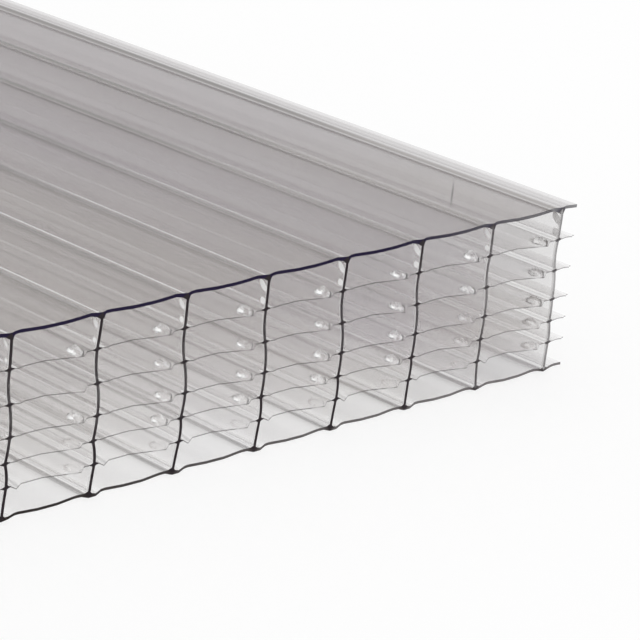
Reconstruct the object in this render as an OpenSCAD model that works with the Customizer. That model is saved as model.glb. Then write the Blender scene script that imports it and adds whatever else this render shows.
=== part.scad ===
// Multiwall glazing sheet of clear polycarbonate, drawn as one piece of stock.
// Two skins and five thin inner walls are carried by upright webs, so the sheet
// is a block of long open chambers in six layers. It comes out of one die, which
// is why the whole form is one section drawn along the ribs.
// Frame: millimetres, +Z up, the origin under the middle of the sheet. +Y runs
// along the ribs, the sawn end that shows the chambers faces -Y, and the edge
// that was cut through a chamber, leaving the walls as stubs, faces +X.

/* [Sheet] */
// Length along the ribs
sheet_length = 2000; // [500:50:3000]
// Thickness over both skins
thickness = 35; // [34:0.5:40]
// Chambers side by side
chambers_across = 35; // [4:1:40]
// Spacing of the webs
web_pitch = 19.5; // [16:0.5:24]
// Length of the open wall stubs past the last web
edge_stub = 5; // [2.5:0.5:12]

/* [Walls] */
// Thickness of the top skin
top_skin = 0.65; // [0.5:0.05:1]
// Thickness of the bottom skin
bottom_skin = 0.55; // [0.5:0.05:1]
// Thickness of the webs
web = 0.65; // [0.4:0.05:1]
// Thickness of the inner walls
inner_wall = 0.2; // [0.15:0.05:0.4]

/* [Layers] */
// Top face down to the first inner wall
layer_1 = 7.05; // [6.5:0.05:7.5]
// First to second inner wall
layer_2 = 6.45; // [6:0.05:7]
// Second to third inner wall
layer_3 = 6.1; // [5.5:0.05:6.5]
// Third to fourth inner wall
layer_4 = 4.65; // [4.2:0.05:5]
// Fourth to fifth inner wall
layer_5 = 4.55; // [4.2:0.05:5]

/* [Drift from cooling] */
// Furthest a web wanders sideways at a wall
web_sway = 0.8; // [0:0.1:1]
// Furthest a web bows between two walls
web_bow = 0.3; // [0:0.05:0.4]
// Depth of the dish in the top skin between webs
top_sag = 0.45; // [0:0.05:0.6]
// Height of the arch beside each foot of the bottom skin
foot_arch = 0.4; // [0:0.05:0.6]
// Height of the wave in each inner wall
wall_wave = 0.2; // [0:0.05:0.3]

/* [Junctions] */
// Half width of the flat land over and under each web
land = 1.1; // [0.8:0.1:1.5]
// Reach of a top gusset to the left of its web
gusset_left = 2.4; // [0.6:0.1:3]
// Reach of a top gusset to the right of its web
gusset_right = 0.4; // [0.3:0.1:1.5]
// Depth of the top gussets down the webs
gusset_depth = 0.9; // [0.5:0.1:1.5]
// Reach of a web's foot along the bottom skin
foot_reach = 1.3; // [0.5:0.1:2]
// Rise of the foot up the web
foot_rise = 0.45; // [0.2:0.05:1]
// Reach of the small fillets along the inner walls
node_reach = 0.7; // [0.3:0.1:1]
// Rise of the small fillets up the webs
node_rise = 0.25; // [0.1:0.05:0.4]
// How full a fillet is: 0.5 is a straight bevel and less is hollower
fillet_fullness = 0.4; // [0.3:0.05:0.5]

/* [Hidden] */

// Depth of each wall below the top face, the skins' outer faces first and last.
wall_depths = [
    0,
    layer_1,
    layer_1 + layer_2,
    layer_1 + layer_2 + layer_3,
    layer_1 + layer_2 + layer_3 + layer_4,
    layer_1 + layer_2 + layer_3 + layer_4 + layer_5,
    thickness
];
layers = len(wall_depths) - 1;

// Share of the sway at each wall and of the bow in each layer, top to bottom.
sway_shares = [0.7, 0, 0.45, 1, 0.25, 0.2, -0.65];
bow_shares = [0.2, -1, 0.8, 0.4, 0.7, -0.2];

skin_steps = 6;
wall_steps = 4;
land_span = web_pitch - 2 * land;
cut_x = chambers_across * web_pitch + edge_stub;
factory_x = web_sway * min(sway_shares) - web / 2;
overcut = 1;
open_reach = edge_stub + overcut + web / 2 + web_sway + web_bow
    + max(gusset_left, foot_reach, node_reach);

// Half wave of a skin between two lands, 0 on the lands and 1 in the middle.
function between_lands(u) =
    let (v = u - web_pitch * floor(u / web_pitch))
    v <= land || v >= web_pitch - land ? 0 : sin(180 * (v - land) / land_span);

// Outer faces of the skins at a place across the sheet. The top one is dished,
// the bottom one arches beside its feet and hangs again in the middle.
function top_face(u) = thickness - top_sag * between_lands(u);
function bottom_face(u) =
    let (s = between_lands(u))
    foot_arch * 3.3 * s * (1.1 - s);

// Middle of an inner wall, a single wave from one web to the next.
function wall_middle(k, u) =
    thickness - wall_depths[k] + wall_wave * sin(360 * u / web_pitch);

// Roof and floor of the chambers in layer j.
function roof(j, u) =
    j == 0 ? top_face(u) - top_skin : wall_middle(j, u) - inner_wall / 2;
function floor_of(j, u) =
    j == layers - 1 ? bottom_face(u) + bottom_skin
    : wall_middle(j + 1, u) + inner_wall / 2;

// Sideways drift of a web in layer j, t running from 0 at its wall above to 1
// at its wall below, and the same at a height z.
function drift(j, t) =
    web_sway * (sway_shares[j] * (1 - t) + sway_shares[j + 1] * t)
    + web_bow * bow_shares[j] * 4 * t * (1 - t);
function drift_at(j, z) =
    drift(j, (thickness - wall_depths[j] - z) / (wall_depths[j + 1] - wall_depths[j]));

// How far a fillet reaches along and up at the roof and at the floor of layer j.
// The top gussets lean to the left side (-1) of their web.
function roof_reach(j, side) =
    j > 0 ? node_reach : side > 0 ? gusset_right : gusset_left;
function roof_drop(j) = j == 0 ? gusset_depth : node_rise;
function floor_reach(j) = j == layers - 1 ? foot_reach : node_reach;
function floor_lift(j) = j == layers - 1 ? foot_rise : node_rise;

// Face of web i in layer j, on its right side (1) or left side (-1), from the
// roof down, with a fillet at both ends.
function web_face(i, j, side) =
    let (
        x = i * web_pitch,
        half = side * web / 2,
        z_up = roof(j, x),
        z_low = floor_of(j, x),
        z_a = z_up - roof_drop(j),
        z_b = z_low + floor_lift(j),
        z_m = (z_a + z_b) / 2,
        roof_hollow = side * roof_reach(j, side) * fillet_fullness,
        floor_hollow = side * floor_reach(j) * fillet_fullness
    )
    [
        [x + drift(j, 0) + half + roof_hollow, z_up - roof_drop(j) * fillet_fullness],
        [x + drift_at(j, z_a) + half, z_a],
        [x + drift_at(j, z_m) + half, z_m],
        [x + drift_at(j, z_b) + half, z_b],
        [x + drift(j, 1) + half + floor_hollow, z_low + floor_lift(j) * fillet_fullness]
    ];

// Roof of a chamber from left to right, and its floor from right to left.
function roof_line(i, j, reach) =
    let (
        a = i * web_pitch + drift(j, 0) + web / 2 + roof_reach(j, 1),
        b = i * web_pitch + reach + drift(j, 0) - web / 2 - roof_reach(j, -1),
        n = j == 0 ? skin_steps : wall_steps
    )
    [for (k = [0:n]) let (x = a + (b - a) * k / n) [x, roof(j, x)]];
function floor_line(i, j, reach) =
    let (
        a = i * web_pitch + drift(j, 1) + web / 2 + floor_reach(j),
        b = i * web_pitch + reach + drift(j, 1) - web / 2 - floor_reach(j),
        n = j == layers - 1 ? skin_steps : wall_steps
    )
    [for (k = [n:-1:0]) let (x = a + (b - a) * k / n) [x, floor_of(j, x)]];

function reversed(list) = [for (k = [len(list) - 1:-1:0]) list[k]];

// One closed chamber between web i and the next.
module chamber(i, j) {
    polygon(concat(
        roof_line(i, j, web_pitch),
        web_face(i + 1, j, -1),
        floor_line(i, j, web_pitch),
        reversed(web_face(i, j, 1))
    ));
}

// The half chamber past the last web, open where the sheet was cut.
module open_chamber(j) {
    polygon(concat(
        roof_line(chambers_across, j, open_reach),
        floor_line(chambers_across, j, open_reach),
        reversed(web_face(chambers_across, j, 1))
    ));
}

// Outline of the section: the dished top, the cut edge, the arched underside
// and the outer face of the first web.
function across() = [
    for (i = [0:chambers_across])
        for (k = [0:skin_steps])
            let (x = i * web_pitch + land + land_span * k / skin_steps)
            if (x < cut_x) x
];
function edge_web() = [
    for (j = [layers - 1:-1:0])
        for (t = [1, 0.5])
            [
                drift(j, t) - web / 2,
                thickness - wall_depths[j] * (1 - t) - wall_depths[j + 1] * t
            ]
];
module outline() {
    polygon(concat(
        [[web_sway * sway_shares[0] - web / 2, thickness]],
        [for (x = across()) [x, top_face(x)]],
        [[cut_x, top_face(cut_x)], [cut_x, bottom_face(cut_x)]],
        [for (x = reversed(across())) [x, bottom_face(x)]],
        edge_web()
    ));
}

module multiwall_sheet() {
    color([0.86, 0.88, 0.9, 0.5])
        translate([-(factory_x + cut_x) / 2, sheet_length / 2, 0])
            rotate([90, 0, 0])
                linear_extrude(sheet_length)
                    difference() {
                        outline();
                        for (i = [0:chambers_across - 1])
                            for (j = [0:layers - 1])
                                chamber(i, j);
                        for (j = [0:layers - 1])
                            open_chamber(j);
                    }
}

multiwall_sheet();
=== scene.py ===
# %% [markdown]
# # A clear seven-wall glazing sheet
# This is a length of multiwall polycarbonate, the stock that conservatory and greenhouse roofs are glazed
# with. Two skins and five thin inner walls are carried by upright webs, so a sawn end shows six layers of
# long chambers. All that makes it look as it does is thin and clear. It could be one solid with a glass
# shader, but light would have to bend through forty surfaces before it reached the floor, which is slow
# and noisy. So the walls here are real walls on one mesh, and each of them lets light straight through
# and stops a little of it.

# %% Start from the packed part
import math

import bmesh
import bpy
from mathutils import Euler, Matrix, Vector, noise


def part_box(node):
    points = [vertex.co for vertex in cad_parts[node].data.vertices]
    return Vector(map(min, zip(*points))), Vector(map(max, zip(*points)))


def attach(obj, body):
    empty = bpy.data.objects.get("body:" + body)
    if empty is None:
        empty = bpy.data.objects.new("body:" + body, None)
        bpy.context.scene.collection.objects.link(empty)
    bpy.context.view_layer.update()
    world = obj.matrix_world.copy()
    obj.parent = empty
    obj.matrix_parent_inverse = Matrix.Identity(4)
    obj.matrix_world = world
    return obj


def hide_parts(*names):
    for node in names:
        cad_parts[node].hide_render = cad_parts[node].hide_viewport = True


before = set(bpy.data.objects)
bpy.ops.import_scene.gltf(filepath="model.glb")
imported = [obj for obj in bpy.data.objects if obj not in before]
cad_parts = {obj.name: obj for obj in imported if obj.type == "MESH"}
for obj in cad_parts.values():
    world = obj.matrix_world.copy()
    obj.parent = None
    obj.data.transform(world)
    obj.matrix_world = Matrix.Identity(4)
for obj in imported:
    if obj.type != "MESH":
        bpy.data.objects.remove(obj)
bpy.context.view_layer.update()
MM = 0.001

# %% [markdown]
# ## The section's sizes
# The sheet comes out of one die, so its whole form is one section. Its length, its thickness and the
# place of its cut edge are read off the packed part. The rest repeats the part's own sizes in
# millimetres: the spacing of the webs, how deep each wall lies under the top face, how thick each one is,
# and how far the webs drifted as it cooled. Only the arch beside each foot is drawn a little higher and
# crisper than in the part, as the photograph has it. In the names below, i counts the webs from the left,
# w the walls and j the layers from the top down, k the stops along a wall and m those up a web, and t
# runs from 0 to 1 down a layer.

# %% Sizes of the sheet
low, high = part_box("multiwall_sheet")
LENGTH = (high[1] - low[1]) / MM
THICKNESS = (high[2] - low[2]) / MM
CELLS = 35
PITCH = 19.5
STUB = 5.0
CUT_X = CELLS * PITCH + STUB
FIRST_WEB_X = high[0] / MM - CUT_X
FRONT_Y = low[1] / MM
print("length", LENGTH, "thickness", THICKNESS, "first web at", FIRST_WEB_X)

# %% Sizes of the walls
TOP_SKIN, BOTTOM_SKIN, WEB, INNER = 0.65, 0.55, 0.65, 0.2
WALL_DEPTHS = (0.0, 7.05, 13.5, 19.6, 24.25, 28.8, THICKNESS)
LAYERS = len(WALL_DEPTHS) - 1
WEB_SWAY, SWAY_SHARES = 0.8, (0.7, 0.0, 0.45, 1.0, 0.25, 0.2, -0.65)
WEB_BOW, BOW_SHARES = 0.3, (0.2, -1.0, 0.8, 0.4, 0.7, -0.2)
SWAY = [WEB_SWAY * share for share in SWAY_SHARES]
BOW = [WEB_BOW * share for share in BOW_SHARES]
TOP_SAG, WALL_WAVE, LAND = 0.45, 0.2, 1.1
print("layers", LAYERS, "sway at the walls", [round(s, 2) for s in SWAY])

# %% Curves of the walls
FOOT_ARCH, FOOT_CRISPNESS = 0.62, 0.6
ARCH_HANG, ARCH_GAIN = 1.1, 3.3


def between_lands(u):
    """0 on the flat land at each web and 1 in the middle between two webs."""
    v = u % PITCH
    if v <= LAND or v >= PITCH - LAND:
        return 0.0
    return math.sin(math.pi * (v - LAND) / (PITCH - 2 * LAND))


def top_face(u):
    """Outer face of the top skin, dished between the webs."""
    return THICKNESS - TOP_SAG * between_lands(u)


def bottom_face(u):
    """Arches beside each foot and hangs again in the middle."""
    s = between_lands(u) ** FOOT_CRISPNESS
    return FOOT_ARCH * ARCH_GAIN * s * (ARCH_HANG - s)


def inner_middle(w, u):
    """Middle of an inner wall, one wave from web to web."""
    return THICKNESS - WALL_DEPTHS[w] + WALL_WAVE * math.sin(2 * math.pi * u / PITCH)


def drift(j, t):
    """Sideways drift of the webs in layer j, straight from wall to wall with a bow between."""
    return SWAY[j] * (1 - t) + SWAY[j + 1] * t + BOW[j] * 4 * t * (1 - t)


print("top skin between webs", top_face(PITCH / 2), "bottom skin", round(bottom_face(PITCH / 2), 3))

# %% [markdown]
# ## The lattice of walls
# A section like this could be drawn as a curve with holes and filled. Here it starts as a grid with one
# face for each chamber. The grid's edges are split at stops, which two tables then place along the walls
# and up the webs. Every face is inset by a hair, and the middle faces are taken out. What is left is a
# net of quads with one row on each side of every wall line. Quads that follow the walls can be bent
# later, where a filled outline would be long slivers that can't.

# %% Net of quads
WALL_STOPS = (0.0, 0.045, 0.11, 0.16, 0.4, 0.64, 0.69, 0.735, 0.78, 0.825, 0.86, 0.885, 0.955, 1.0)
WEB_STOPS = (0.0, 0.08, 0.3, 0.5, 0.7, 0.92, 1.0)
LAST = len(WALL_STOPS) - 1
UP = len(WEB_STOPS) - 1
HAIR = 0.02
NEAR = 1.5 * HAIR

net = bmesh.new()
bmesh.ops.create_grid(net, x_segments=CELLS + 1, y_segments=LAYERS, size=0.5)
for v in net.verts:
    v.co.x = round((v.co.x + 0.5) * (CELLS + 1))
    v.co.y = round((v.co.y + 0.5) * LAYERS)
flat_edges = [e for e in net.edges if abs(e.verts[0].co.y - e.verts[1].co.y) < 0.5]
upright_edges = [e for e in net.edges if abs(e.verts[0].co.x - e.verts[1].co.x) < 0.5]
bmesh.ops.bisect_edges(net, edges=flat_edges, cuts=LAST - 1)
bmesh.ops.bisect_edges(net, edges=upright_edges, cuts=UP - 1)
chambers = net.faces[:]
bmesh.ops.inset_individual(net, faces=chambers, thickness=HAIR, use_even_offset=True)
bmesh.ops.delete(net, geom=chambers, context="FACES_ONLY")
print("net", len(net.verts), "vertices", len(net.faces), "faces")

# %% [markdown]
# ## What the saw did
# The walls are only true to the die further in. The saw's heat let the thin inner walls curl at the
# mouth: each one sags towards its right-hand web, steps up again just before it, and has blown a small
# dome behind the sagging stretch. The top skin has sunk a little over each web. These are small heights
# that are added to the walls, and they die away a few millimetres behind the sawn end. CURL has a height
# for each stop along a wall, DOME has the dome's for the stops under it, and DOME_HEIGHTS has its share
# for each wall from the top down. How strong they are differs from chamber to chamber by steady chance,
# which is noise that is read at fixed places, so that every run makes the same sheet.

# %% Sizes of the curl
CURL = (0.0, -0.05, -0.25, -0.08, 0.05, -0.2, -0.27, -0.35, -0.45, -0.57, -0.65, 0.12, 0.05, 0.0)
CURL_DEPTH = 4.4
CURL_LUCK = 0.35
KICK_STOP, KICK = 2, -0.45
STUB_CURL = 0.3
DOME = {7: 0.5, 8: 1.65, 9: 1.6, 10: 0.6}
DOME_HEIGHTS = (0.0, 1.0, 0.85, 0.9, 0.9, 0.4, 0.0)
DOME_DEPTH, DOME_SKEW, DOME_LUCK = 3.0, 0.85, 0.3
SINK, SINK_AT, SINK_WIDTH = 0.42, -0.15, 0.85
print("highest dome", max(DOME.values()), "mm, deepest curl", min(CURL), "mm")

# %% Steady chance
LUCK_STEPS = (1.37, 2.11, 1.73)
LUCK_STARTS = (0.5, 0.3, 7.7)
LUCK_GAIN = 1.6


def luck(a, b, c=0.0):
    """A steady number from -1 to 1. The last number given picks another draw for the same place."""
    spot = [n * step + start for n, step, start in zip((a, b, c), LUCK_STEPS, LUCK_STARTS)]
    return max(-1.0, min(1.0, LUCK_GAIN * noise.noise(Vector(spot))))


print("luck of three webs", [round(luck(i, 9), 2) for i in (3, 4, 5)])

# %% Curl at the mouth
def curl_left(depth):
    """Share of the curl that is left at a depth, 1 at the mouth and 0 from CURL_DEPTH on."""
    t = min(1.0, depth / CURL_DEPTH)
    return (1 - t) ** 2 * (1 + 2 * t)


def dome_share(depth):
    """Share of a dome's height at a depth, 0 at the mouth and again behind the dome."""
    return math.sin(math.pi * min(1.0, depth / DOME_DEPTH) ** DOME_SKEW)


def curl(i, w, k, depth):
    """What the saw's heat adds to the height of inner wall w in the chamber right of web i."""
    if i == CELLS:
        return STUB_CURL * CURL[k] * curl_left(depth)
    height = CURL[k] * (1.0 + CURL_LUCK * luck(i, w)) * curl_left(depth)
    if w == LAYERS - 1 and k == KICK_STOP:
        height += KICK * (1.0 + luck(i, 5)) * curl_left(depth)
    dome = DOME.get(k, 0.0) * DOME_HEIGHTS[w] * (1.0 + DOME_LUCK * luck(i, w, 2))
    return height + dome * dome_share(depth)


print("curl at a mouth", [round(curl(30, 1, k, 0.0), 2) for k in range(LAST + 1)])

# %% Middles of the walls
def wall_z(i, w, k, x, depth):
    """Height of the middle of wall w, or of the outer face where it is a skin."""
    if w == 0:
        aside = (x + PITCH / 2) % PITCH - PITCH / 2 - SWAY[0] - SINK_AT
        return top_face(x) - SINK * math.exp(-(aside / SINK_WIDTH) ** 2)
    if w == LAYERS:
        return bottom_face(x)
    return inner_middle(w, x) + curl(i, w, k, depth)


print("top face over a web", round(wall_z(30, 0, 0, 30 * PITCH, 0.0), 2))

# %% [markdown]
# ## Webs that wander
# As the sheet cooled, its webs wandered sideways. They share one drift, which the part has too, but the
# eight webs that the photograph shows each depart from it by up to 0.7 mm. A table gives that departure
# in millimetres at the seven walls from the top down, as it was read off the photograph. The hidden webs
# get a small one by steady chance, so that no two of them are quite alike.

# %% Middles of the webs
OWN_DRIFT = {
    28: (-0.2, 0.2, 0.15, 0.0, -0.2, 0.25, 0.15),
    29: (0.05, -0.3, -0.2, -0.35, -0.45, 0.15, -0.1),
    30: (-0.1, 0.15, 0.15, 0.35, 0.25, 0.15, -0.35),
    31: (-0.25, 0.05, 0.05, 0.0, 0.1, 0.2, -0.05),
    32: (-0.05, -0.1, -0.05, -0.1, 0.05, 0.05, -0.2),
    33: (0.2, 0.35, 0.15, -0.1, 0.05, -0.2, 0.0),
    34: (0.05, 0.35, -0.2, -0.45, -0.45, -0.7, 0.3),
    35: (0.35, 0.4, -0.1, -0.35, 0.05, 0.3, 0.5),
}
DRIFT_LUCK, PLACE_LUCK = 0.15, 0.12


def web_x(i, j, t):
    """Place across of web i in layer j, with t running from 0 at the wall above to 1 at the wall below."""
    if i == 0:
        return drift(j, t)
    if i in OWN_DRIFT:
        above, below = OWN_DRIFT[i][j:j + 2]
        return i * PITCH + drift(j, t) + above * (1 - t) + below * t
    return i * PITCH + drift(j, t) * (1 + DRIFT_LUCK * luck(i, 9)) + PLACE_LUCK * luck(i, 3)


print("last web at the walls", [round(web_x(CELLS, j, 0.0), 2) for j in range(LAYERS)])

# %% [markdown]
# ## Where each vertex belongs
# Every vertex of the net knows its column, its layer and how far along a wall or a web it sits. One
# function turns that into a place in the section. Where a wall meets a web the corner is filled: with a
# gusset under the top skin, a foot over the bottom skin and a small fillet elsewhere, all a little
# hollow.

# %% Fillets in the corners
GUSSET_LEFT, GUSSET_RIGHT, GUSSET_DEPTH = 2.4, 0.4, 0.9
FOOT_REACH, FOOT_RISE = 1.3, 0.45
NODE_REACH, NODE_RISE = 0.7, 0.25
FULLNESS = 0.4


def reach(w, side):
    """How far a fillet reaches along wall w, to the right (1) or the left (-1) of a web."""
    if w == 0:
        return GUSSET_RIGHT if side > 0 else GUSSET_LEFT
    return FOOT_REACH if w == LAYERS else NODE_REACH


def rise(w):
    """How far a fillet reaches up or down the web from wall w."""
    if w == 0:
        return GUSSET_DEPTH
    return FOOT_RISE if w == LAYERS else NODE_RISE


print("fillets rise", [rise(w) for w in range(LAYERS + 1)])

# %% Stops along a wall
def stop_x(i, j, w, k):
    """Place across of stop k along wall w, seen from layer j, in the chamber right of web i."""
    t = float(w > j)
    left = web_x(i, j, t) + WEB / 2
    right = web_x(i + 1, j, t) - WEB / 2 if i < CELLS else CUT_X
    left_reach = reach(w, 1)
    right_reach = reach(w, -1) if i < CELLS else 0.0
    if k == 0:
        return left + FULLNESS * left_reach
    if k == LAST:
        return right - FULLNESS * right_reach
    last_stop = WALL_STOPS[LAST - 1] if i < CELLS else WALL_STOPS[LAST]
    share = (WALL_STOPS[k] - WALL_STOPS[1]) / (last_stop - WALL_STOPS[1])
    return left + left_reach + (right - right_reach - left - left_reach) * share


print("stops under the top skin", [round(stop_x(30, 0, 0, k) - 30 * PITCH, 1) for k in range(LAST + 1)])

# %% Roofs and floors of the chambers
def roof(i, j, k, depth):
    """Stop k on the underside of the wall above layer j."""
    x = stop_x(i, j, j, k)
    return x, wall_z(i, j, k, x, depth) - (TOP_SKIN if j == 0 else INNER / 2)


def floor_of(i, j, k, depth):
    """Stop k on the upper side of the wall below layer j."""
    x = stop_x(i, j, j + 1, k)
    return x, wall_z(i, j + 1, k, x, depth) + (BOTTOM_SKIN if j == LAYERS - 1 else INNER / 2)


def corner(i, j, k, by_roof, depth):
    """The hollow of a fillet, or the corner of an open chamber at the cut edge."""
    x, z = roof(i, j, k, depth) if by_roof else floor_of(i, j, k, depth)
    if i == CELLS and k == LAST:
        return x, z
    return x, z - FULLNESS * rise(j) if by_roof else z + FULLNESS * rise(j + 1)


print("roof of a chamber", [round(value, 2) for value in roof(30, 0, 0, 0.0)])

# %% Webs and their junctions
def junction(i, w, depth):
    """Where the middle of a web meets the middle of a wall."""
    j = min(w, LAYERS - 1)
    if i > CELLS:
        return CUT_X, wall_z(CELLS, w, LAST, CUT_X, depth)
    x = web_x(i, j, float(w > j)) - (WEB / 2 if i == 0 else 0.0)
    return x, wall_z(i, w, 0, x, depth)


def web_middle(i, j, up, depth):
    """Middle of web i in layer j, with up running from 0 at the wall below to 1 at the wall above."""
    column = min(i, CELLS)
    z_above = wall_z(column, j, 0, column * PITCH, depth)
    z_below = wall_z(column, j + 1, 0, column * PITCH, depth)
    x = web_x(i, j, 1 - up) - (WEB / 2 if i == 0 else 0.0)
    return x, z_below + (z_above - z_below) * up


def web_face(i, j, k, m, depth):
    """Stop m on the side of a web, the left one of the chamber where k is 0 and otherwise the right one."""
    z_above = roof(i, j, k, depth)[1] - rise(j)
    z_below = floor_of(i, j, k, depth)[1] + rise(j + 1)
    share = (WEB_STOPS[m] - WEB_STOPS[1]) / (WEB_STOPS[UP - 1] - WEB_STOPS[1])
    z = z_below + (z_above - z_below) * share
    t = (THICKNESS - WALL_DEPTHS[j] - z) / (WALL_DEPTHS[j + 1] - WALL_DEPTHS[j])
    if k == 0:
        return web_x(i, j, t) + WEB / 2, z
    return web_x(i + 1, j, t) - WEB / 2, z


print("top of web 30", [round(value, 2) for value in junction(30, 0, 0.0)])

# %% One place for each vertex
def near_line(value, slack=NEAR):
    """True where a grid coordinate lies on a wall or a web."""
    return abs(value - round(value)) < slack


def place(gx, gy, depth):
    """Place across and height of the vertex at gx, gy on the grid, at a depth behind the sawn end."""
    on_wall, on_web = near_line(gy, HAIR / 2), near_line(gx, HAIR / 2)
    if on_wall and on_web:
        return junction(round(gx), LAYERS - round(gy), depth)
    i, row = min(CELLS, int(gx)), min(LAYERS - 1, int(gy))
    j = LAYERS - 1 - row
    k, m = round((gx - i) * LAST), round((gy - row) * UP)
    if on_wall:
        w = LAYERS - round(gy)
        x = stop_x(i, min(w, LAYERS - 1), w, k)
        return x, wall_z(i, w, k, x, depth)
    if on_web:
        return web_middle(round(gx), j, WEB_STOPS[m], depth)
    by_roof = gy - row > 0.5
    if near_line(gx) and near_line(gy):
        return corner(i, j, k, by_roof, depth)
    if near_line(gy):
        return roof(i, j, k, depth) if by_roof else floor_of(i, j, k, depth)
    return web_face(i, j, k, m, depth)


print("corner of the net", [round(value, 2) for value in place(0.0, 0.0, 0.0)])

# %% [markdown]
# ## From the net to the sheet
# The open chambers past the last web lose their right-hand side, so that the walls end there as stubs.
# Then the net is pushed back along the ribs. The steps are short at the mouth, where the curl dies away,
# and one long step makes the rest of the sheet. Each step leaves its old faces inside the walls, and they
# are deleted, because a clear wall would show them.

# %% Push the net along the ribs
DEPTHS = (0.35, 0.9, 1.6, 2.4, 3.3, CURL_DEPTH, LENGTH)
flat_place = net.verts.layers.float_vector.new("flat_place")
for v in net.verts:
    v[flat_place] = (v.co.x, v.co.y, 0.0)
open_side = [f for f in net.faces if all(v.co.x > CELLS + 1 - NEAR for v in f.verts)]
bmesh.ops.delete(net, geom=open_side, context="FACES")


def lay(verts, depth):
    """Moves vertices to their places at a depth behind the sawn end."""
    for v in verts:
        gx, gy, _ = v[flat_place]
        x, z = place(gx, gy, depth)
        v.co = ((FIRST_WEB_X + x) * MM, (FRONT_Y + depth) * MM, z * MM)


lay(net.verts, 0.0)
ring = net.faces[:]
for depth in DEPTHS:
    old = ring if depth != DEPTHS[0] else []
    made = bmesh.ops.extrude_face_region(net, geom=ring)
    ring = [g for g in made["geom"] if isinstance(g, bmesh.types.BMFace)]
    lay([g for g in made["geom"] if isinstance(g, bmesh.types.BMVert)], depth)
    bmesh.ops.delete(net, geom=[f for f in old if f.is_valid], context="FACES")
    print("depth", depth, "faces", len(net.faces))
bmesh.ops.recalc_face_normals(net, faces=net.faces)
print("open edges", sum(1 for e in net.edges if len(e.link_faces) != 2))

# %% [markdown]
# ## What the materials need to know
# The finishes differ from wall to wall, so each face gets the slot of its wall. They also follow the
# ribs: a line always runs the same distance beside a web. A map called wall_place holds that distance and
# the depth behind the sawn end, both in metres. On a web it holds the height over the wall below instead
# of the distance. Two attributes say where a corner is filled, and how bright a chamber's glints are.
# Tables give that brightness for the chambers that the photograph shows, wall by wall from the top down,
# and steady chance gives it for the others.

# %% Slots for the walls
SLOTS = ("top", "bottom", "web", "inner", "sawn top", "sawn web", "sawn bottom", "sawn inner")
TOP, BOTTOM, WEB_WALL, INNER_WALL, SAWN_TOP, SAWN_WEB, SAWN_BOTTOM, SAWN_INNER = range(len(SLOTS))
TICK = 1.0 / LAST
SAWN_FACING = 0.99
CREASE = math.radians(35)


def middle_of(f):
    """Middle of a face on the grid."""
    count = len(f.verts)
    return sum(v[flat_place][0] for v in f.verts) / count, sum(v[flat_place][1] for v in f.verts) / count


def is_sawn(f):
    return abs(f.normal.y) > SAWN_FACING


def slot_of(f):
    gx, gy = middle_of(f)
    across, w = near_line(gy), LAYERS - round(gy)
    if is_sawn(f):
        if not across or (0 < w < LAYERS and near_line(gx, TICK)):
            return SAWN_WEB
        return SAWN_TOP if w == 0 else SAWN_BOTTOM if w == LAYERS else SAWN_INNER
    if not across:
        return WEB_WALL
    return TOP if w == 0 else BOTTOM if w == LAYERS else INNER_WALL


for f in net.faces:
    f.material_index = slot_of(f)
    f.smooth = not is_sawn(f)
for e in net.edges:
    e.smooth = len(e.link_faces) == 2 and e.calc_face_angle(0) < CREASE
for number, name in enumerate(SLOTS):
    print("slot", name, sum(1 for f in net.faces if f.material_index == number), "faces")

# %% Filled corners
bend = net.verts.layers.float.new("bend")
for v in net.verts:
    gx, gy, _ = v[flat_place]
    if near_line(gy):
        v[bend] = float(near_line(gx) and gx < CELLS + 0.5)
print("filled corners", sum(1 for v in net.verts if v[bend] > 0.5), "vertices")

# %% Brightness of the glints
WALL_GLINTS, WALL_GLINT_LUCK = (0.0, 0.95, 0.75, 0.75, 0.75, 0.45, 0.0), 0.6
WEB_GLINT, WEB_GLINT_LUCK = 0.85, 0.5
SEEN_WALL_GLINTS = {
    28: (0.0, 1.0, 0.15, 1.0, 0.35, 0.35, 0.0),
    29: (0.0, 1.0, 0.7, 0.9, 0.9, 0.3, 0.0),
    30: (0.0, 1.0, 0.7, 1.0, 0.9, 0.3, 0.0),
    31: (0.0, 1.0, 0.8, 0.9, 0.8, 0.3, 0.0),
    32: (0.0, 1.0, 0.8, 0.9, 0.8, 0.3, 0.0),
    33: (0.0, 0.9, 0.8, 0.35, 0.35, 0.2, 0.0),
    34: (0.0, 0.9, 0.7, 0.7, 0.2, 0.3, 0.0),
}
SEEN_WEB_GLINTS = {28: 0.35, 29: 0.45, 30: 0.6, 31: 1.0, 32: 0.8, 33: 0.9, 34: 0.55, 35: 0.9}


def wall_glint(i, w):
    if i in SEEN_WALL_GLINTS:
        return SEEN_WALL_GLINTS[i][w]
    return WALL_GLINTS[w] * (1.0 + WALL_GLINT_LUCK * luck(i, w, 4)) if i < CELLS else 0.0


def web_glint(i):
    return SEEN_WEB_GLINTS.get(i, WEB_GLINT * (1.0 + WEB_GLINT_LUCK * luck(i, 11)))


glint = net.verts.layers.float.new("glint")
for v in net.verts:
    gx, gy, _ = v[flat_place]
    if near_line(gy):
        v[glint] = wall_glint(min(CELLS, int(gx)), LAYERS - round(gy))
    elif round(gx) > gx and gy > LAYERS - 1:
        v[glint] = web_glint(round(gx))
print("brightest glint", round(max(v[glint] for v in net.verts), 2))

# %% Map of the walls
def beside_web(i, w, x):
    """Distance right of web i along wall w, stretched so that the next web is always one pitch away."""
    j, t = (w, 0.0) if w < LAYERS else (w - 1, 1.0)
    left = web_x(i, j, t)
    right = web_x(i + 1, j, t) if i < CELLS else left + PITCH
    return (x - left) / (right - left) * PITCH


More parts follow.
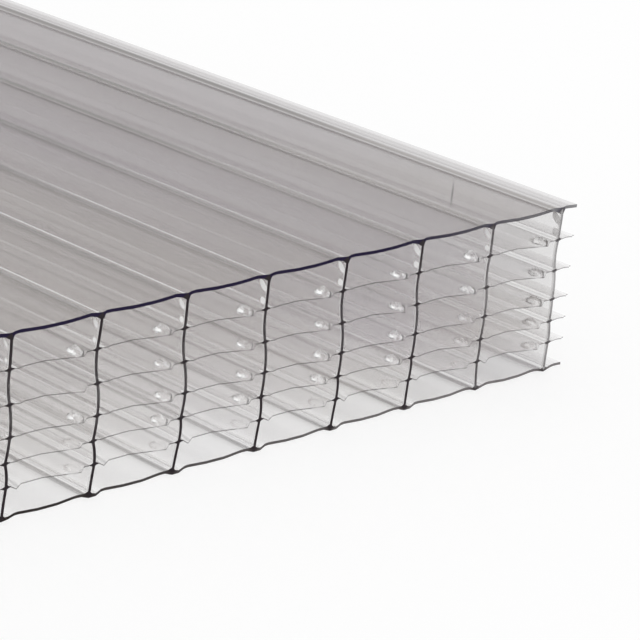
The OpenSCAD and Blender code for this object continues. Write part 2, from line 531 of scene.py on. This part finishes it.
wall_place = net.loops.layers.uv.new("wall_place")
for f in net.faces:
    gx, gy = middle_of(f)
    i, j = min(CELLS, int(gx)), LAYERS - 1 - min(LAYERS - 1, int(gy))
    w = LAYERS - round(gy)
    for loop in f.loops:
        x = loop.vert.co.x / MM - FIRST_WEB_X
        z = loop.vert.co.z / MM
        aside = beside_web(i, w, x) if near_line(gy) else z - THICKNESS + WALL_DEPTHS[j + 1]
        loop[wall_place].uv = (aside * MM, loop.vert.co.y - FRONT_Y * MM)
print("mapped corners", sum(len(f.loops) for f in net.faces))

# %% The finished piece
mesh = bpy.data.meshes.new("sheet_walls")
net.to_mesh(mesh)
net.free()
sheet = bpy.data.objects.new("sheet_walls", mesh)
bpy.context.collection.objects.link(sheet)
print("faces", len(mesh.polygons), "triangles", sum(len(p.vertices) - 2 for p in mesh.polygons))
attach(sheet, "root")
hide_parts("multiwall_sheet")

# %% [markdown]
# ## A helper for the shader's sums
# A finish is a graph of nodes, and most of its nodes are small sums. Written as nodes they hide what they
# say, so one class wraps a socket and lets Python's own signs make the Math nodes. The other class holds
# one material.

# %% A socket as a value
class Value:
    """Wraps a shader socket, so that an expression on values adds its own Math nodes."""

    def __init__(self, finish, socket):
        self.finish, self.socket = finish, socket

    def __add__(self, other):
        return self.finish.math("ADD", self, other)

    def __radd__(self, other):
        return self.finish.math("ADD", other, self)

    def __sub__(self, other):
        return self.finish.math("SUBTRACT", self, other)

    def __rsub__(self, other):
        return self.finish.math("SUBTRACT", other, self)

    def __mul__(self, other):
        return self.finish.math("MULTIPLY", self, other)

    def __rmul__(self, other):
        return self.finish.math("MULTIPLY", other, self)

    def __truediv__(self, other):
        return self.finish.math("DIVIDE", self, other)


print("signs that make nodes: + - * /")

# %% One material's graph
class Finish:
    """The node graph of one material or of the world."""

    def __init__(self, owner, output_kind="ShaderNodeOutputMaterial"):
        self.owner = owner
        owner.use_nodes = True
        self.tree = owner.node_tree
        self.tree.nodes.clear()
        self.output = self.tree.nodes.new(output_kind)

    def node(self, kind, settings, inputs, output=0):
        """Adds a node, makes its settings first, then gives each socket its value or its link."""
        made = self.tree.nodes.new(kind)
        for name, value in settings.items():
            setattr(made, name, value)
        for key, value in inputs.items():
            if isinstance(value, Value):
                self.tree.links.new(value.socket, made.inputs[key])
            else:
                made.inputs[key].default_value = value
        return Value(self, made.outputs[output])

    def math(self, operation, a, b=0.0):
        return self.node("ShaderNodeMath", {"operation": operation}, {0: a, 1: b})

    def clamp(self, value):
        return self.node("ShaderNodeClamp", {}, {"Value": value})

    def smooth(self, value):
        """Eases a value from 0 to 1, and holds it there outside."""
        held = self.clamp(value)
        return held * held * (3.0 - 2.0 * held)

    def band(self, value, centre, half_width):
        """1 where value is at centre, falling smoothly to 0 at half_width to either side."""
        return self.smooth(1.0 - self.math("ABSOLUTE", value - centre) / half_width)

    def mix(self, a, b, factor):
        return self.node("ShaderNodeMix", {"data_type": "RGBA"}, {"Factor": factor, 6: a, 7: b}, output=2)

    def axis(self, vector, number):
        """One number of a vector: 0 for x, 1 for y or 2 for z."""
        return self.node("ShaderNodeSeparateXYZ", {}, {0: vector}, output=number)

    def attribute(self, name):
        return self.node("ShaderNodeAttribute", {"attribute_name": name}, {}, output=2)

    def object_place(self):
        """The object's own coordinates, in metres."""
        return self.node("ShaderNodeTexCoord", {}, {}, output=3)

    def streaks(self, scale, detail=2.0):
        """Noise from -0.5 to 0.5 on the object's own coordinates, with its own scale on each axis."""
        spot = self.node("ShaderNodeMapping", {}, {"Vector": self.object_place(), "Scale": scale})
        return self.node("ShaderNodeTexNoise", {}, {"Vector": spot, "Scale": 1.0, "Detail": detail}) - 0.5

    def done(self, shader):
        """Links the shader to the output and gives back the material or the world."""
        self.tree.links.new(shader.socket, self.output.inputs["Surface"])
        return self.owner


print("helpers on a finish:", [name for name in vars(Finish) if not name.startswith("_")])

# %% [markdown]
# ## Clear walls
# Clear polycarbonate is grey only where light is lost: a little at every surface, more where the surface
# is met at a low angle, and most in the filled corners and along the sink marks that each web leaves in
# the skins. So each wall has a plain opacity, and the cube of Layer Weight's Facing adds to it at low
# angles, in streaks that run along the ribs as the melt flowed. The shade and the highlights that the sink
# marks and fillets throw along the ribs are painted on as lines. A table gives these lines, each with its
# distance from the web to its left, its half width, its strength and its brightness. The lower walls and
# webs are painted lighter, standing in for the white floor's light that shows in them. Towards the cut
# edge the photograph is hazier and its lines fade, deeper in they widen, and the stubs fade. From 230 mm
# behind the sawn end the painted shade and highlights on the ribs are drawn stronger, so that the sheet
# still reads as ribbed from afar.

# %% Tints
WARM = (1.0, 0.91, 0.86)
COOL = (1.0, 0.91, 0.93)
MILD = (1.0, 0.95, 0.92)
MILD_COOL = (1.0, 0.95, 0.975)
PLAIN = (1.0, 1.0, 1.0)


def grey(level, tint=WARM):
    return (level * tint[0], level * tint[1], level * tint[2], 1.0)


print("warm grey", grey(0.5), "cool grey", grey(0.5, COOL))

# %% Where the look changes
IN_MM = 1000.0
FAR_FROM, FAR_WIDTH = 225.0, 125.0
DEEP_FROM, DEEP_WIDTH = 45.0, 45.0
REMOTE_FROM, REMOTE_WIDTH = 230.0, 200.0
STUBS_WIDTH = STUB + 1.0
STUBS_FROM = high[0] / MM - STUBS_WIDTH
FLOW_SCALE, FLOW_DETAIL = (600.0, 1.5, 120.0), 3.0
TINT_SCALE, TINT_DETAIL = (25.0, 6.0, 60.0), 1.0
TINT_CONTRAST, TINT_START, TINT_FAR, TINT_DEEP = 2.5, 0.2, 0.6, 0.2
print("hazier from", FAR_FROM, "mm across, fading from", round(STUBS_FROM, 1))

# %% Clear wall
class ClearWall(Finish):
    """A clear wall, whose two levels are its greys at the top and at the bottom of the sheet."""

    def __init__(self, name, levels, plain, grazing, at_bends, flow, tints=(MILD, MILD_COOL)):
        super().__init__(bpy.data.materials.new(name))
        spot = self.node("ShaderNodeUVMap", {"uv_map": "wall_place"}, {})
        self.aside = self.axis(spot, 0) * IN_MM
        self.depth = self.axis(spot, 1) * IN_MM
        self.across = self.axis(self.object_place(), 0) * IN_MM
        self.far = self.smooth((self.across - FAR_FROM) / FAR_WIDTH)
        self.deep = self.smooth((self.depth - DEEP_FROM) / DEEP_WIDTH)
        self.remote = self.smooth((self.depth - REMOTE_FROM) / REMOTE_WIDTH)
        facing = self.node("ShaderNodeLayerWeight", {}, {"Blend": 0.5}, output=1)
        self.slant = facing * facing * facing
        fold = self.attribute("bend")
        self.luck = self.attribute("glint")
        flowing = self.streaks(FLOW_SCALE, FLOW_DETAIL)
        self.opacity = plain + self.slant * (grazing + flowing * flow) + fold * fold * at_bends
        self.paint = self.tinted(levels, tints)
        self.shine = 0.0

    def tinted(self, levels, tints):
        """Grey that goes from level to level down the sheet, and from warm to cool in soft patches."""
        patches = self.streaks(TINT_SCALE, TINT_DETAIL) * TINT_CONTRAST + TINT_START
        coolness = self.smooth(patches + self.far * TINT_FAR + self.deep * TINT_DEEP)
        # Walls lower in the sheet are painted lighter, a stand-in for the white floor's light that shows in
        # them.
        low = self.clamp(1.0 - self.axis(self.object_place(), 2) / (THICKNESS * MM))
        warm, cool = [self.mix(grey(levels[0], t), grey(levels[1], t), low) for t in tints]
        return self.mix(warm, cool, coolness)

    def line(self, mask, strength, brightness, tint=WARM):
        """Adds opacity where mask is 1, and turns the colour to a grey of that brightness."""
        self.opacity = self.opacity + mask * strength
        self.paint = self.mix(self.paint, grey(brightness, tint), mask)

    def lines(self, table, where=1.0):
        """Painted lines of shade and highlight along the ribs, dark ones warm and bright ones plain, only
        where a mask is 1.
        """
        for centre, half_width, strength, brightness in table:
            tint = PLAIN if brightness > 0.5 else WARM
            self.line(self.band(self.aside, centre, half_width) * where, strength, brightness, tint)

    def close(self, haze, stub_fade=0.0):
        """Hazes the walls near the cut edge, fades the stubs and adds the material to the sheet."""
        self.opacity = self.opacity * (1.0 + self.far * self.far * haze)
        if stub_fade:
            beyond = self.smooth((self.across - STUBS_FROM) / STUBS_WIDTH)
            self.opacity = self.opacity * (1.0 - beyond * (1.0 - self.remote) * stub_fade)
        shader = self.node("ShaderNodeBsdfPrincipled", {}, {
            "Base Color": self.paint, "Roughness": 0.25, "IOR": 1.58, "Specular IOR Level": 0.3,
            "Metallic": self.shine, "Alpha": self.clamp(self.opacity)})
        sheet.data.materials.append(self.done(shader))
        print("finish", self.owner.name, len(self.tree.nodes), "nodes")


print("helpers on a clear wall:", [name for name in vars(ClearWall) if not name.startswith("_")])

# %% [markdown]
# ## The two skins
# The top skin has sunk a little along each web. The slope to the left of the web is painted as a soft
# dark line of shade, with a thin painted gleam beside it. Near the cut edge the skin has one faint
# scratch. It could be an image, but a straight scratch is only two masks, one across it and one along
# it. The bottom skin is painted with a dark line of shade on both sides of each foot, and a thin gleam
# beside it, seen through all the walls above it.

# %% Painted shade and gleam on the top skin
RIB_SHADE = (16.8, 1.1, 0.08, 0.1)
FAR_RIB_SHADE = (16.9, 2.2, 0.2, 0.25)
DEEP_RIB_SHADE = (17.3, 1.8, 0.1, 0.12)
GLEAM = (18.5, 0.6, 0.32, 0.85)
REMOTE_SHADE_AND_GLEAM = ((16.6, 3.4, 0.5, 0.1), (0.4, 1.6, 0.4, 0.9))
top = ClearWall("clear_top_skin", levels=(0.32, 0.32), plain=0.02, grazing=0.98, at_bends=0.05, flow=0.2,
                tints=(WARM, COOL))
# Painted shade along the slope of each sink mark, wider far off and deeper in, and a painted gleam beside
# it.
top.lines([RIB_SHADE])
top.lines([FAR_RIB_SHADE], where=top.far)
top.lines([DEEP_RIB_SHADE], where=top.deep)
top.lines([GLEAM], where=(1.0 - top.far) * (1.0 - top.deep))
# From afar, painted shade and a painted highlight along each rib, stronger at low angles.
top.lines(REMOTE_SHADE_AND_GLEAM, where=top.remote * top.slant)
print("top skin so far", len(top.tree.nodes), "nodes")

# %% Scratch on the top skin
SCRATCH_AT = (327.2, -981.7)
SCRATCH_RUN = (0.735, 0.678)
SCRATCH_HALF_WIDTH, SCRATCH_HALF_LENGTH = 0.35, 13.0
from_x = top.across - SCRATCH_AT[0]
from_y = top.axis(top.object_place(), 1) * IN_MM - SCRATCH_AT[1]
beside = top.band(from_x * SCRATCH_RUN[1] - from_y * SCRATCH_RUN[0], 0.0, SCRATCH_HALF_WIDTH)
along = top.band(from_x * SCRATCH_RUN[0] + from_y * SCRATCH_RUN[1], 0.0, SCRATCH_HALF_LENGTH)
top.line(beside * along, strength=0.14, brightness=0.1)
top.close(haze=0.5, stub_fade=0.55)

# %% Bottom skin
FOOT_SHADE_AND_GLEAM = ((18.9, 1.1, 0.3, 0.12), (0.3, 0.8, 0.4, 0.1), (1.6, 0.5, 0.35, 1.0))
FOOT_LINES_FADE = 0.5
bottom = ClearWall("clear_bottom_skin", levels=(0.5, 0.5), plain=0.03, grazing=0.5, at_bends=0.1,
                   flow=0.15)
# Painted shade on both sides of each foot, and a painted gleam just right of it.
bottom.lines(FOOT_SHADE_AND_GLEAM, where=1.0 - bottom.far * FOOT_LINES_FADE)
bottom.close(haze=0.9, stub_fade=0.7)

# %% [markdown]
# ## Painted glints at the mouth
# Where the thin inner walls blew up into domes, each dome is given a painted highlight: a crescent on its
# left flank, painted white and made metallic so that it is as bright as a mirror, a pale mottled sheen
# inside it, and a thin line of painted shade on its other side. Two like painted highlights sit on the
# left face of each web under the top gusset. They could be left to a lamp, but a lamp's reflection would
# slide as the view turns. Painted on by distance and depth, they stay on the domes that the heat left,
# and the tables above say how bright each one is.

# %% Painted highlights on the webs
HIGHLIGHT_LEAN = 0.6
HIGHLIGHT_GAIN = 3.0
webs = ClearWall("clear_web", levels=(0.62, 0.86), plain=0.08, grazing=0.35, at_bends=0.1, flow=0.3)
web_height = webs.aside


def highlight_spot(height, at, size):
    """A soft painted highlight at a height over the wall below and a depth, with its half height and half
    depth.
    """
    return webs.band(height, at[0], size[0]) * webs.band(webs.depth, at[1], size[1])


upper = highlight_spot(web_height - webs.depth * HIGHLIGHT_LEAN, at=(3.7, 1.1), size=(1.1, 1.3))
lower = highlight_spot(web_height, at=(1.5, 0.8), size=(0.9, 0.9))
# Painted highlights under the top gusset, as bright as the web's glint attribute says.
webs.line(webs.clamp((upper + lower) * webs.luck * HIGHLIGHT_GAIN), strength=1.0, brightness=1.0, tint=PLAIN)
webs.line(webs.band(webs.depth, centre=0.1, half_width=0.4), strength=0.3, brightness=0.9, tint=PLAIN)
print("webs so far", len(webs.tree.nodes), "nodes")

# %% Webs at both long edges
WEB_SHADE_FROM, WEB_SHADE_WIDTH, WEB_SHADE = 316.0, 20.0, 0.35
FIRST_WEB_FROM, FIRST_WEB_WIDTH = -330.0, 10.0
near_cut_edge = webs.smooth((webs.across - WEB_SHADE_FROM) / WEB_SHADE_WIDTH)
webs.line(near_cut_edge * WEB_SHADE, strength=0.1, brightness=0.22)
first_web = webs.smooth((FIRST_WEB_FROM - webs.across) / FIRST_WEB_WIDTH)
webs.line(first_web, strength=0.35, brightness=0.3)
webs.close(haze=0.6)

# %% Painted shade and highlights on the inner walls
LEFT_OF_WEB = ((18.1, 0.7, 0.2, 0.12), (19.1, 0.3, 0.8, 1.0))
RIGHT_OF_WEB = ((1.5, 0.6, 0.5, 1.0), (2.7, 0.4, 0.15, 0.12))
INNER_LINES_FADE = 0.9
inner = ClearWall("clear_inner_wall", levels=(0.47, 0.86), plain=0.01, grazing=0.36, at_bends=0.1,
                  flow=0.65)
# Painted shade and highlights beside each web, where the fillets bend the light.
inner.lines(LEFT_OF_WEB + RIGHT_OF_WEB, where=1.0 - inner.far * INNER_LINES_FADE)
print("inner walls so far", len(inner.tree.nodes), "nodes")

# %% Parts of a dome's painted glint
DOME_AT, DOME_BACK, DOME_RADIUS = 15.6, 1.4, 1.5
LIT_TURN, LIT_UNTIL, HOOK_FROM = 0.77, 0.2, 0.3
LENS_SHARPNESS = 3.0
MOTTLE_SCALE, MOTTLE_START, MOTTLE_CONTRAST = (900.0, 900.0, 900.0), 0.4, 4.0
dx = (inner.aside - DOME_AT) / DOME_RADIUS
dy = (inner.depth - DOME_BACK) / DOME_RADIUS
radius = inner.math("SQRT", dx * dx + dy * dy)
side = dx - dy * LIT_TURN
crescent = inner.band(radius, centre=0.85, half_width=0.25) * inner.smooth(LIT_UNTIL - side) * inner.luck
hook = inner.band(radius, centre=1.0, half_width=0.15) * inner.smooth(side - HOOK_FROM) * inner.luck
lens = inner.smooth(1.0 + (1.0 - radius) * LENS_SHARPNESS) * inner.luck
sheen_mottle = inner.streaks(MOTTLE_SCALE) * MOTTLE_CONTRAST + MOTTLE_START
print("dome glints of radius", DOME_RADIUS, "mm")

# %% Inner walls
CRESCENT_GAIN, HOOK_GAIN = 1.6, 1.2
INNER_SHADE_FROM, INNER_SHADE_WIDTH, INNER_SHADE = 318.0, 18.0, 0.3
# A pale mottled sheen painted inside each dome, painted shade along its far rim, and a crescent painted
# white and made metallic: a painted highlight and a mirror in one.
inner.line(inner.clamp(lens * sheen_mottle), strength=0.35, brightness=1.0, tint=PLAIN)
inner.line(inner.clamp(hook * HOOK_GAIN), strength=0.25, brightness=0.05)
inner.shine = inner.clamp(crescent * CRESCENT_GAIN)
inner.line(inner.shine, strength=1.0, brightness=1.0, tint=PLAIN)
near_cut_edge = inner.smooth((inner.across - INNER_SHADE_FROM) / INNER_SHADE_WIDTH)
inner.line(near_cut_edge * INNER_SHADE, strength=0.1, brightness=0.25)
inner.close(haze=1.2, stub_fade=0.6)

# %% [markdown]
# ## Sawn faces
# The sawn end looks almost black, because light that enters the walls from the room is carried away down
# the sheet. The top skin has a breath of navy. Towards the cut edge less plastic lies behind the faces
# and they turn pale, the bottom skin first, while the junctions of walls and webs stay dark. So a mix
# along the sheet's width takes each face from a dark colour to a pale one. The webs are a little clearer
# in the middle layers, and the line of an inner wall all but breaks in front of its dome, where the wall
# bends away.

# %% Sawn face
SAWN_PALE_FROM, SAWN_PALE_WIDTH = 288.0, 58.0
JUNCTION_GAIN, JUNCTION_PALING = 1.2, 0.35


class SawnFace(Finish):
    """A sawn face, which turns pale towards the cut edge, and less so at the junctions."""

    def __init__(self, name, pale_from=SAWN_PALE_FROM, pale_width=SAWN_PALE_WIDTH):
        super().__init__(bpy.data.materials.new(name))
        across = self.axis(self.object_place(), 0) * IN_MM
        self.thin = 1.0 - self.clamp(self.attribute("bend") * JUNCTION_GAIN)
        paling = self.smooth((across - pale_from) / pale_width)
        self.far = paling * (JUNCTION_PALING + self.thin * (1.0 - JUNCTION_PALING))

    def close(self, dark, pale, opacity):
        """Mixes the two colours and adds the material to the sheet."""
        shader = self.node("ShaderNodeBsdfPrincipled", {}, {
            "Base Color": self.mix((*dark, 1.0), (*pale, 1.0), self.far), "Roughness": 0.6,
            "Specular IOR Level": 0.0, "Alpha": opacity})
        sheet.data.materials.append(self.done(shader))
        print("finish", self.owner.name, len(self.tree.nodes), "nodes")


print("sawn faces turn pale from", SAWN_PALE_FROM, "mm across")

# %% Sawn top skin
sawn_top = SawnFace("sawn_top_skin")
sawn_top.close(dark=(0.022, 0.017, 0.042), pale=(0.1, 0.095, 0.105),
               opacity=1.0 - sawn_top.far * 0.2)

# %% Sawn webs
CLEARER_AT, CLEARER_REACH = 21.0, 12.0
CLEARER, CLEARER_AND_FAR, CLEAR_FAR = 0.12, 0.2, 0.4
sawn_web = SawnFace("sawn_web")
web_z = sawn_web.axis(sawn_web.object_place(), 2) * IN_MM
clearer = sawn_web.band(web_z, CLEARER_AT, CLEARER_REACH) * sawn_web.thin
through_far = 1.0 - sawn_web.far * sawn_web.far * CLEAR_FAR
through_middle = 1.0 - clearer * (CLEARER + sawn_web.far * CLEARER_AND_FAR)
sawn_web.close(dark=(0.034, 0.028, 0.031), pale=(0.1, 0.09, 0.094),
               opacity=through_far * through_middle)

# %% Sawn bottom skin
sawn_bottom = SawnFace("sawn_bottom_skin", pale_from=190.0, pale_width=150.0)
sawn_bottom.close(dark=(0.034, 0.028, 0.027), pale=(0.14, 0.126, 0.128),
                  opacity=1.0 - sawn_bottom.far * 0.1)

# %% Sawn inner walls
GAP_AT, GAP_REACH, GAP = 14.8, 2.2, 0.65
sawn_inner = SawnFace("sawn_inner_wall")
beside = sawn_inner.axis(sawn_inner.node("ShaderNodeUVMap", {"uv_map": "wall_place"}, {}), 0) * IN_MM
whole = 1.0 - sawn_inner.band(beside, GAP_AT, GAP_REACH) * GAP
sawn_inner.close(dark=(0.05, 0.045, 0.045), pale=(0.12, 0.11, 0.115),
                 opacity=(0.66 - sawn_inner.far * 0.06) * whole)

# %% [markdown]
# ## Floor and light
# The sheet lies on a white floor in an even white light, as for a catalogue. One plain world of strength
# 1 does it: a colour then renders as it is written, nothing clips, and the only shadow is the soft one
# where the sheet keeps the light off the floor. A camera ray sees three quarters of the floor as plain
# white, which lightens that shadow and keeps the page white without more light on the sheet.

# %% Floor
FLOOR_HALF = 12.0
FLOOR_DROP = 0.0002
floor_mesh = bpy.data.meshes.new("floor")
plane = bmesh.new()
bmesh.ops.create_grid(plane, x_segments=1, y_segments=1, size=FLOOR_HALF)
bmesh.ops.translate(plane, verts=plane.verts, vec=(0.0, 0.0, -FLOOR_DROP))
plane.to_mesh(floor_mesh)
plane.free()
floor = bpy.data.objects.new("floor", floor_mesh)
bpy.context.collection.objects.link(floor)
print("floor", 2 * FLOOR_HALF, "m wide")

# %% Finish of the floor
WHITE = (1.0, 1.0, 1.0, 1.0)
WHITENESS = 0.75
pale_floor = Finish(bpy.data.materials.new("pale_floor"))
matt = pale_floor.node("ShaderNodeBsdfPrincipled", {}, {
    "Base Color": (0.97, 0.97, 0.97, 1.0), "Roughness": 0.9, "Specular IOR Level": 0.0})
white = pale_floor.node("ShaderNodeEmission", {}, {"Color": WHITE, "Strength": 1.0})
seen = pale_floor.node("ShaderNodeLightPath", {}, {}) * WHITENESS
floor_mesh.materials.append(pale_floor.done(
    pale_floor.node("ShaderNodeMixShader", {}, {0: seen, 1: matt, 2: white})))
print("finish", pale_floor.owner.name, len(pale_floor.tree.nodes), "nodes")

# %% Light
world = bpy.data.worlds.new("studio")
bpy.context.scene.world = world
studio = Finish(world, "ShaderNodeOutputWorld")
studio.done(studio.node("ShaderNodeBackground", {}, {"Color": WHITE, "Strength": 1.0}))
print("light", world.name)

# %% [markdown]
# ## Camera
# The photograph looks along the sawn end from close above it with a long lens. The place, the turn and
# the lens were worked out from the junctions of the walls, whose real places are known from the section.

# %% Camera
CAMERA_PLACE = (-0.089889, -1.372948, 0.208014)
CAMERA_TURN = (70.4473, -4.1273, -42.9193)
CAMERA_LENS = 167.95
camera_data = bpy.data.cameras.new("camera")
camera_data.sensor_width = 36.0
camera_data.lens = CAMERA_LENS
camera_data.clip_start = 0.01
camera = bpy.data.objects.new("camera", camera_data)
camera.location = CAMERA_PLACE
camera.rotation_euler = Euler([math.radians(a) for a in CAMERA_TURN], "XYZ")
bpy.context.collection.objects.link(camera)
bpy.context.scene.camera = camera
print("camera at", CAMERA_PLACE, "lens", CAMERA_LENS)

# %% [markdown]
# ## Last settings
# A low line of sight passes both skins and dozens of webs and inner walls, each with two faces. So many
# clear faces in a row have to be let through before a ray is given up.

# %% Render settings
CLEAR_FACES_IN_A_ROW = 160
BOUNCES = 8
scene = bpy.context.scene
scene.view_settings.view_transform = "Standard"
scene.cycles.transparent_max_bounces = CLEAR_FACES_IN_A_ROW
scene.cycles.max_bounces = BOUNCES
